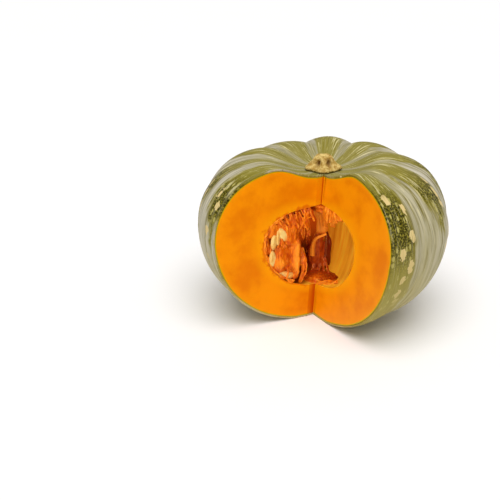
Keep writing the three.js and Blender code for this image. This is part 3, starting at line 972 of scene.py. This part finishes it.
def make_pulp_material():
    material, tree = new_material("wet_orange_pulp")
    place = object_place(tree)
    deep = attribute(tree, "deep")
    sunk = attribute(tree, "sunk")
    painted_light = attribute(tree, "painted_light")
    upright = add_node(tree, "ShaderNodeMapping", {"Vector": place, "Scale": (380.0, 380.0, 170.0)})
    streak = speckle(tree, upright.outputs[0], 1.0, 4)
    fibre_share = stepped(tree, streak, 0.36, 0.66)
    cloud = speckle(tree, place, 130.0, 2)

    # Painted light and shade: lighter and yellower at the cuts, darker and redder inwards, painted shade in
    # the slits and painted highlight on the ridges
    colour = tinted(tree, fibre_share, fibre_red, fibre_orange)
    colour = washed(tree, colour, stepped(tree, cloud, 0.54, 0.7), 0.5, clot_red)
    front = stepped(tree, plus(tree, deep, times(tree, streak, 3.0)), 2.6, 0.2)
    colour = washed(tree, colour, front, 0.6, front_painted_light_yellow)
    inwards = stepped(tree, plus(tree, deep, times(tree, cloud, 6.0)), 4.0, 20.0)
    colour = tinted(tree, inwards, colour, tinted(tree, fibre_share, inner_shade_red, inner_shade_orange))
    # Painted highlight on the ridge and the torn sheet, and painted shadow in the sheet's fold
    colour = washed(tree, colour, stepped(tree, painted_light, 0.0, 1.0), 0.8, sheet_painted_highlight)
    colour = washed(tree, colour, stepped(tree, painted_light, 0.0, -1.0), 0.9, fold_painted_shadow)
    colour = washed(tree, colour, stepped(tree, sunk, 0.0, 0.08), 0.5, slit_shade_red)
    colour = washed(tree, colour, stepped(tree, sunk, -0.01, -0.09), 0.45, ridge_highlight_yellow)

    # A painted glow that stands in for light on the deepest fibre and the thin torn sheet
    height = add_node(tree, "ShaderNodeSeparateXYZ", {"Vector": place}).outputs["Z"]
    deep_glow = times(tree, stepped(tree, deep, *deep_glow_border), stepped(tree, height, *deep_glow_heights))
    torn = times(tree, stepped(tree, painted_light, 0.1, 0.6), stepped(tree, deep, *sheet_glow_border))
    finish_shader(tree, {
        "Base Color": colour,
        "Emission Strength": plus(tree, times(tree, deep_glow, 0.7), times(tree, torn, 0.22)),
        "Emission Color": tinted(tree, torn, painted_glow_red, painted_glow_orange),
        "Roughness": spread(tree, cloud, 0.22, 0.45),
        "Normal": relief(tree, streak, 0.35, 0.5 * MM),
        "Specular IOR Level": 0.3,
        "Specular Tint": pulp_sheen,
        "Subsurface Weight": 0.2,
        "Subsurface Radius": (1.0, 0.3, 0.06),
        "Subsurface Scale": 2 * MM})
    return material


def edge_along(height):
    """How far along the left cut the hollow's edge lies at a height, in mm."""
    level = left_cut(0, height, 0).xy
    towards = level.dot(left_way.xy)
    return (math.sqrt(towards ** 2 - level.length_squared + wall_radius(height * MM) ** 2) - towards) / MM


def ridge_highlight(place):
    """Painted highlight on the ridge that stands beside the gap in the middle."""
    along = (place - wedge_corner).dot(left_way) / MM
    height = place.z / MM
    return 0.9 * hump(along, 20, 4) * ease(height, 46, 56) * ease(height, 84, 74)


def left_pulp():
    """The clump at the left cut. Each clot has its place in the cut's frame and its half sizes, in mm."""
    bm = bmesh.new()
    clots = [((36, 63, 10), (17, 10, 18)), ((20, 65, 8), (7, 8, 23)), ((31, 91, 12), (20, 11, 17)),
             ((22, 105, 13), (14, 9, 12)), ((30, 46, 13), (18, 10, 10)),
             ((45, 98, 7), (10, 7, 11)), ((50, 78, 9), (7, 6, 17))]
    for key, (place, sizes) in enumerate(clots, 1):
        add_clot(bm, left_cut(*place), sizes, left_facing, key)
    hanging = []
    for i in range(6):
        along = 13 + 6 * i
        hanging.append([(along + 6, 116 - 0.16 * i * i, 5), (along + 1, 105 - i, 1 + 3 * draw(i)),
                        (along - 4, 92 + 5 * draw(i + 3), 4), (along - 6, 82, 9)])
    standing = []
    for i in range(4):
        along = 12 + 8 * i
        standing.append([(along + 2, 72 - 4 * i, 9), (along - 1, 58 - 2 * i, 1 + 3 * draw(i + 7)),
                         (along + 1, 44 + i, 2), (along + 3, 30 + 1.5 * i, 8)])
    fringe = []
    for i in range(16):
        along = 8 + 2.4 * i
        top = 115 - 0.012 * along * along
        fringe.append([(along + 3, top, 3), (along + 1, top - 6, 0.5 + 2 * draw(i + 110)),
                       (along + 12 * (draw(i + 120) - 0.55), top - 9 - 14 * draw(i + 130), 3)])
    for j in range(3):
        fringe.append([(edge_along(height) - 3 * draw(height + j), height, 0.4 + 1.6 * draw(height - 7 * j))
                       for height in range(40, 114, 5)])
    fibres = [[left_cut(*place) for place in places] for places in hanging + standing]
    fringe = [[left_cut(*place) for place in places] for places in fringe]
    strands = with_threads(fibres, key=300, count=5, spread_mm=3.2)
    strands += with_threads(fringe, key=400, count=2, spread_mm=2, stout=0.8)
    pulp_piece("pulp_left", bm, strands, rough=0.8, painted_light_at=ridge_highlight)


def wall_pulp(node, from_azimuth, to_azimuth, key):
    """A clump on the wall between two azimuths in degrees: three clots under five upright fibres."""
    bm = bmesh.new()
    middle = (from_azimuth + to_azimuth) / 2
    sweep = to_azimuth - from_azimuth
    width = 0.3 * math.radians(sweep) * hollow_radius / MM
    for i in range(3):
        azimuth = middle + sweep * (0.22 * (i % 2) - 0.11)
        add_clot(bm, on_wall(azimuth, 60 + 18 * i, 8), (8, width, 14), math.radians(azimuth), key + i)
    fibres = []
    for i in range(5):
        azimuth = from_azimuth + sweep * (i + 0.5) / 5
        drift = 8 * (draw(key + i) - 0.5)
        fibres.append([on_wall(azimuth, 110, 1), on_wall(azimuth + drift, 94, 8 + 5 * draw(key + i + 11)),
                       on_wall(azimuth - drift, 64, 10 + 5 * draw(key + i + 17)), on_wall(azimuth, 42, 1)])
    pulp_piece(node, bm, with_threads(fibres, key, count=4, spread_mm=3))


sheet_rim = [Vector(place) * MM for place in [
    (-8.3, 2.5, 54), (-8.5, 2.5, 62), (-7.6, 2.5, 69), (-4.6, 2, 74), (0.2, 2, 76.5), (5, 2.5, 79)]]
sheet_rim_radius = 1.5
sheet_rim_width = 2.2 * MM
fold_left = 2.5
fold_front = 5.5
fold_top = 79


def curtain_highlight_and_shadow(place):
    """Painted highlight at the sheet's torn rim and above it, and painted shadow in the fold at its right.
    """
    x, y, z = place / MM
    if x > fold_left and y > fold_front and z < fold_top:
        return -1
    near_rim = 0
    for start, end in zip(sheet_rim, sheet_rim[1:]):
        nearest, share = geometry.intersect_point_line(place, start, end)
        if 0 <= share <= 1:
            near_rim = max(near_rim, hump((place - nearest).length, 0, sheet_rim_width))
    return max(near_rim, 0.6 * ease(z, 74, 82) * ease(z, 108, 98))


def curtain_pulp():
    """The torn sheet, and the fibre on the roof and the floor near it."""
    bm = bmesh.new()
    facing = stem_turn + math.pi / 2
    sheets = [((-4, 6, 55), (8, 3, 25), 7), ((0, 6, 93), (6, 2.4, 20), 6), ((0, -2, 35), (18, 13, 5), 8),
              ((7, 0, 111), (22, 15, 7), 9), ((4.5, 10, 59), (4, 3, 20), 3)]
    for place, sizes, key in sheets:
        add_clot(bm, Vector(place) * MM, sizes, facing, key)
    add_clot(bm, right_cut(9, 111, 6), (10, 5, 6), right_facing, 10)
    add_clot(bm, right_cut(22, 110, 6), (9, 5, 4), right_facing, 11)
    fibres = []
    for i in range(5):
        x = -8 + 6 * i
        y = 9 * draw(i + 30) - 5
        low = 96 - 12 * draw(i + 35)
        fibres.append([(x + 3, y, 113), (x + 1, y - 1, 104), (0.8 * x, y + 2, low + 5),
                       (0.5 * x + 1, 6, low)])
    for i in range(4):
        x = -10 + 7 * i
        fibres.append([(0.35 * x - 1, 7, 54), (0.6 * x, 4, 42), (x, 4 * draw(i + 60) - 2, 36),
                       (1.3 * x, 1, 33)])
    fibres = [[Vector(place) * MM for place in places] for places in fibres]
    fibres.append([right_cut(2, 36, 3), right_cut(12, 40, 3), right_cut(21, 43, 3), right_cut(30, 48, 3)])
    fringe = []
    for i in range(14):
        along = 1 + 2 * i
        low = 102 + 0.6 * i
        fringe.append([right_cut(along, 115 - 0.15 * i, 3),
                       right_cut(along + 2, 0.4 * low + 68, 1 + 2 * draw(i + 70)),
                       right_cut(along + 4 * draw(i + 80), low - 3 * draw(i + 90), 2 + 3 * draw(i + 75))])
    strands = with_threads(fibres, key=500, count=4, spread_mm=2.4)
    strands += with_threads(fringe, key=700, count=2, spread_mm=1.6, stout=0.7)
    strands.append((sheet_rim, sheet_rim_radius))
    pulp_piece("pulp_curtain", bm, strands, rough=0.5, painted_light_at=curtain_highlight_and_shadow)


pulp_material = make_pulp_material()
left_pulp()
wall_pulp("pulp_back", from_azimuth=112, to_azimuth=176, key=100)
wall_pulp("pulp_right", from_azimuth=-46, to_azimuth=26, key=200)
curtain_pulp()

# The seeds: flat, pointed, cream-coloured husks, each with a raised margin around both faces.
# They grew in the pulp, which still holds them in groups that touch, moist and stained orange in places.
seed_length = 16.5 * MM
seed_width = 8.8 * MM
seed_thickness = 3.2 * MM
margin_start = 0.8
margin_full = 0.92
groove_width = 0.055
groove_depth = 0.22
point_taper = 0.4


def add_seed(bm, at, lean, facing, nod=0):
    """One upright seed that faces along its own y, then leans, nods and turns."""
    made = bmesh.ops.create_uvsphere(bm, u_segments=48, v_segments=36, radius=1)["verts"]
    bmesh.ops.rotate(bm, verts=made, cent=(0, 0, 0), matrix=Matrix.Rotation(math.pi / 2, 3, "X"))
    rim_layer = bm.verts.layers.float["rim"]
    for vert in made:
        out = math.hypot(vert.co.x, vert.co.z)
        full = math.sqrt(max(1 - out ** 4, 0))
        groove = hump(out, margin_start, groove_width)
        side = 1 if vert.co.y > 0 else -1
        point = max(vert.co.z, 0)
        vert.co.y = side * full * (1 - groove_depth * groove) * seed_thickness / 2
        vert.co.x *= seed_width / 2 * (1 - point_taper * point * point)
        vert.co.z *= seed_length / 2
        vert[rim_layer] = ease(out, margin_start, margin_full)
    turn = Matrix.Rotation(facing, 3, "Z") @ Matrix.Rotation(nod, 3, "X") @ Matrix.Rotation(lean, 3, "Y")
    bmesh.ops.rotate(bm, verts=made, cent=(0, 0, 0), matrix=turn)
    bmesh.ops.translate(bm, verts=made, vec=at)


husk_cream = paint(216, 188, 112)
husk_tan = paint(200, 152, 68)
margin_tan = paint(206, 150, 66)
pulp_stain = paint(222, 128, 34)


def make_seed_material():
    material, tree = new_material("moist_cream_seed")
    place = object_place(tree)
    cloud = speckle(tree, place, 160.0, 4)
    colour = tinted(tree, stepped(tree, cloud, 0.4, 0.68), husk_cream, husk_tan)
    colour = washed(tree, colour, attribute(tree, "rim"), 0.5, margin_tan)
    colour = washed(tree, colour, stepped(tree, speckle(tree, place, 60.0, 3), 0.56, 0.7), 0.6, pulp_stain)
    finish_shader(tree, {
        "Base Color": colour,
        "Roughness": spread(tree, cloud, 0.3, 0.5),
        "Normal": relief(tree, cloud, 0.2, 0.3 * MM),
        "Specular IOR Level": 0.35})
    return material


def seed_group(node, seeds):
    """One group that touches, each seed given by its place, lean, facing and nod."""
    bm = bmesh.new()
    bm.verts.layers.float.new("rim")
    for seed in seeds:
        add_seed(bm, *seed)
    pulp_and_seeds.append(finished_piece(node + "_flat", bm, node, seed_material))


def wall_seeds(azimuth, height, facing, key):
    """Four seeds in a row on the wall, from an azimuth and with a facing in degrees."""
    return [(on_wall(azimuth + 4 * i, height + 3 * draw(i + 20 * key), 13),
             0.4 * (draw(i + 1 + 4 * key) - 0.5), math.radians(facing + 4 * i)) for i in range(4)]


seed_material = make_seed_material()
seed_group("seeds_left_upper", [
    (left_cut(45, 85.5, 1.5), -0.12, left_facing + 0.5),
    (left_cut(40.4, 88.5, 2.5), 0.08, left_facing + 0.9),
    (left_cut(36, 91, 2), 0.55, left_facing + 0.2)])
seed_group("seeds_left_lower", [
    (left_cut(45.6, 68, 1.5), 0.05, left_facing + 0.4),
    (left_cut(42.6, 63, 5), 0.4, left_facing + 0.6)])
seed_group("seeds_floor", [
    (left_cut(31 - 4.6 * i, 48 - 2.4 * i, 4 + i), 1.1 + 0.2 * draw(i), left_facing + 0.2 * i, -0.6)
    for i in range(3)])
seed_group("seeds_back", wall_seeds(azimuth=128, height=78, facing=188, key=1))
seed_group("seeds_right", wall_seeds(azimuth=-20, height=84, facing=40, key=2))

# The floor and the studio: a pale, plain sheet under a white sky and one broad soft light from above.
# Two front lamps light only the flesh, the pulp and the seeds, so that the floor keeps its soft shadow.
# The camera stands at the photographed angle.
floor_half = 6
floor_white = paint(252, 250, 249)
floor_warm_white = paint(254, 252, 251)
sky_strength = 0.36
overhead_energy = 2.5
overhead_angle = math.radians(56)
overhead_way = Vector((-0.1, 0.35, -0.93))
lamp_aim = Vector((0, 0, 0.08))
lamp_size = 0.4
camera_azimuth = math.radians(18.1)
camera_height = math.radians(23.05)
camera_place = Vector((185.3, -787.0, 405.3)) * MM
camera_lens = 64.8
camera_sensor = 36

floor_mesh = bmesh.new()
bmesh.ops.create_grid(floor_mesh, x_segments=8, y_segments=8, size=floor_half)
floor_data = bpy.data.meshes.new("floor")
floor_mesh.to_mesh(floor_data)
floor_mesh.free()
floor = placed("floor", floor_data)
floor_material, floor_tree = new_material("pale_floor")
floor_grain = speckle(floor_tree, object_place(floor_tree), 3.0)
finish_shader(floor_tree, {
    "Base Color": tinted(floor_tree, floor_grain, floor_white, floor_warm_white),
    "Roughness": 0.7})
floor_data.materials.append(floor_material)

# The sky lights the fruit softly but is seen as plain white, like the floor.
world = bpy.data.worlds.new("studio")
bpy.context.scene.world = world
world.use_nodes = True
seen = add_node(world.node_tree, "ShaderNodeLightPath").outputs["Is Camera Ray"]
brighter_seen = times(world.node_tree, seen, 1 - sky_strength)
fill_inputs(world.node_tree, world.node_tree.nodes["Background"], {
    "Color": (1, 1, 1, 1),
    "Strength": plus(world.node_tree, brighter_seen, sky_strength)})


def soft_light(name, place, power, lit):
    """A round lamp, aimed at the cut, that lights only the pieces in lit."""
    lamp = bpy.data.lights.new(name, "AREA")
    lamp.shape = "DISK"
    lamp.size = lamp_size
    lamp.energy = power
    made = placed(name, lamp)
    made.location = place
    made.rotation_euler = (lamp_aim - Vector(place)).to_track_quat("-Z", "Y").to_euler()
    made.light_linking.receiver_collection = lit
    made.visible_camera = False


cut_side = bpy.data.collections.new("cut_side")
for piece in [flesh] + pulp_and_seeds:
    cut_side.objects.link(piece)
soft_light("left_front_light", (-0.5, -1.45, 0.3), 8.5, cut_side)
soft_light("right_front_light", (0.55, -1.4, 0.35), 7.5, cut_side)
overhead_lamp = bpy.data.lights.new("overhead_light", "SUN")
overhead_lamp.energy = overhead_energy
overhead_lamp.angle = overhead_angle
overhead_light = placed("overhead_light", overhead_lamp)
overhead_light.rotation_euler = overhead_way.to_track_quat("-Z", "Y").to_euler()

camera = placed("camera", bpy.data.cameras.new("camera"))
forward = Vector((-math.sin(camera_azimuth) * math.cos(camera_height),
                  math.cos(camera_azimuth) * math.cos(camera_height), -math.sin(camera_height)))
sideways = Vector((math.cos(camera_azimuth), math.sin(camera_azimuth), 0))
upward = sideways.cross(forward)
turned_camera = Matrix((sideways, upward, -forward)).transposed().to_4x4()
camera.matrix_world = Matrix.Translation(camera_place) @ turned_camera
camera.data.lens = camera_lens
camera.data.sensor_width = camera_sensor
bpy.context.scene.camera = camera
bpy.context.scene.view_settings.view_transform = "Standard"
